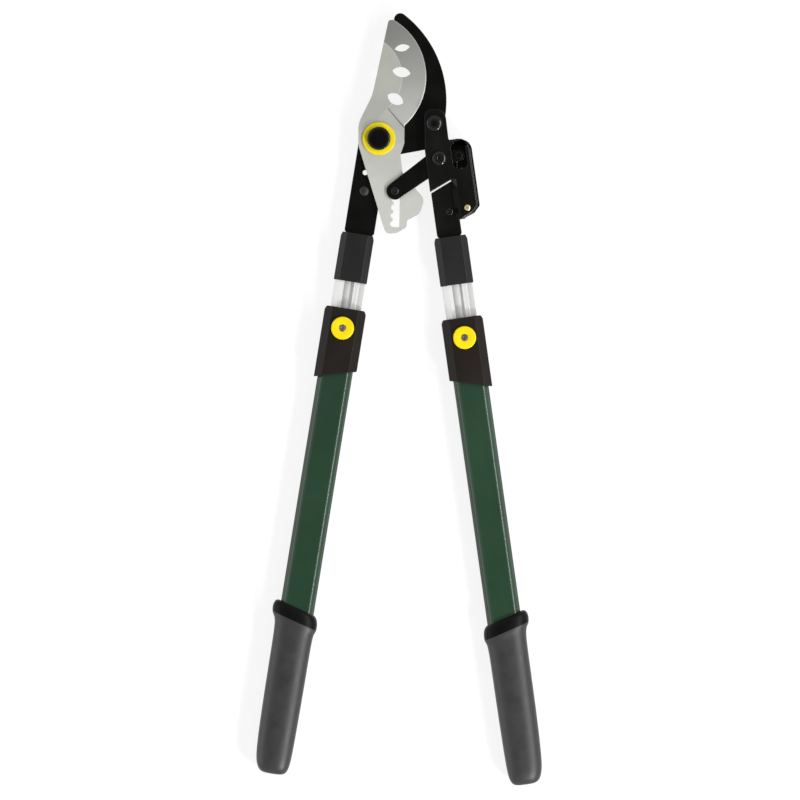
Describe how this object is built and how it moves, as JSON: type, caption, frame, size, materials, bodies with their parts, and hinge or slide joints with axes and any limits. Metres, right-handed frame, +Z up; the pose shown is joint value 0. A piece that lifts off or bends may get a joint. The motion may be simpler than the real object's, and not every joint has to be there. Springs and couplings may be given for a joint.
{
  "type": "ratchet lopper",
  "caption": "Bypass lopper with a pivoting blade over a hooked counter plate, a ratchet link in the blade's toothed tail slot, and telescopic handles with push-button locks.",
  "frame": {"origin": "middle of the outline seen from above, on the plane that the backs of the lock sleeves rest on", "axes": "+Y from the grips to the cutting tip, +Z up out of the resting plane to the blade side, +X to the hook side"},
  "size_m": [0.2576, 0.6961, 0.0309],
  "materials": {
    "black_steel": "satin",
    "black_fastener": "gloss",
    "blade_steel": "satin",
    "grey_steel": "satin",
    "spring_steel": "polished",
    "gilt_rivet": "satin",
    "yellow_ring": "satin",
    "charcoal_plastic": "satin",
    "bare_aluminium": "satin",
    "green_tube": "gloss",
    "grip_rubber": "matte",
    "yellow_plastic": "gloss",
    "pin_steel": "polished"
  },
  "bodies": {
    "hook_side": {"hook_plate": "black_steel", "blade_stop": "grey_steel", "pivot_bolt": "black_fastener", "pivot_washer": "yellow_ring", "pivot_nut": "grey_steel", "left_collar": "charcoal_plastic", "left_inner_tube": "bare_aluminium", "left_guide_bush": "charcoal_plastic"},
    "left_handle": {"left_lock_sleeve": "charcoal_plastic", "left_outer_tube": "green_tube", "left_grip": "grip_rubber", "left_button_spring": "spring_steel"},
    "left_button": {"left_button": "yellow_plastic", "left_lock_pin": "pin_steel"},
    "blade": {"blade": "blade_steel"},
    "arm": {"arm_front_plate": "black_steel", "arm_back_plate": "black_steel", "arm_core": "black_steel", "arm_pivot_bolt": "black_fastener", "arm_pivot_spacer": "grey_steel", "link_pivot_bolt": "black_fastener", "link_spacers": "grey_steel", "arm_rivet": "black_fastener", "spring_anchor": "gilt_rivet", "ratchet_spring": "spring_steel", "right_collar": "charcoal_plastic", "right_inner_tube": "bare_aluminium", "right_guide_bush": "charcoal_plastic"},
    "right_handle": {"right_lock_sleeve": "charcoal_plastic", "right_outer_tube": "green_tube", "right_grip": "grip_rubber", "right_button_spring": "spring_steel"},
    "right_button": {"right_button": "yellow_plastic", "right_lock_pin": "pin_steel"},
    "link": {"link_front_plate": "black_steel", "link_back_plate": "black_steel", "ratchet_pin": "grey_steel", "spring_post": "grey_steel"}
  },
  "joints": [
    {"name": "handle_swing", "type": "hinge", "parent": "hook_side", "child": "arm", "pos_m": [0.03187, 0.24821, 0.014], "axis": [0, 0, 1], "range_deg": [0, 50]},
    {"name": "blade_swing", "type": "hinge", "parent": "hook_side", "child": "blade", "pos_m": [-0.01813, 0.2347, 0.0187], "axis": [0, 0, 1], "range_deg": [0, 31.5]},
    {"name": "link_swing", "type": "hinge", "parent": "arm", "child": "link", "pos_m": [0.03629, 0.21671, 0.0187], "axis": [0, 0, 1], "range_deg": [-50.5, 0], "deforming": ["ratchet_spring"]},
    {"name": "left_extend", "type": "slide", "parent": "hook_side", "child": "left_handle", "axis": [-0.1599, -0.9871, 0], "range_m": [0, 0.28]},
    {"name": "right_extend", "type": "slide", "parent": "arm", "child": "right_handle", "axis": [0.1392, -0.9903, 0], "range_m": [0, 0.28]},
    {"name": "left_press", "type": "slide", "parent": "left_handle", "child": "left_button", "axis": [0, 0, -1], "range_m": [0, 0.003], "stiffness_N_per_m": 1200, "springref_m": -0.002, "deforming": ["left_button_spring"]},
    {"name": "right_press", "type": "slide", "parent": "right_handle", "child": "right_button", "axis": [0, 0, -1], "range_m": [0, 0.003], "stiffness_N_per_m": 1200, "springref_m": -0.002, "deforming": ["right_button_spring"]}
  ],
  "couplings": [
    {"joint": "blade_swing", "follows": "handle_swing", "ratio": 0.63},
    {"joint": "link_swing", "follows": "handle_swing", "ratio": -1.01}
  ]
}
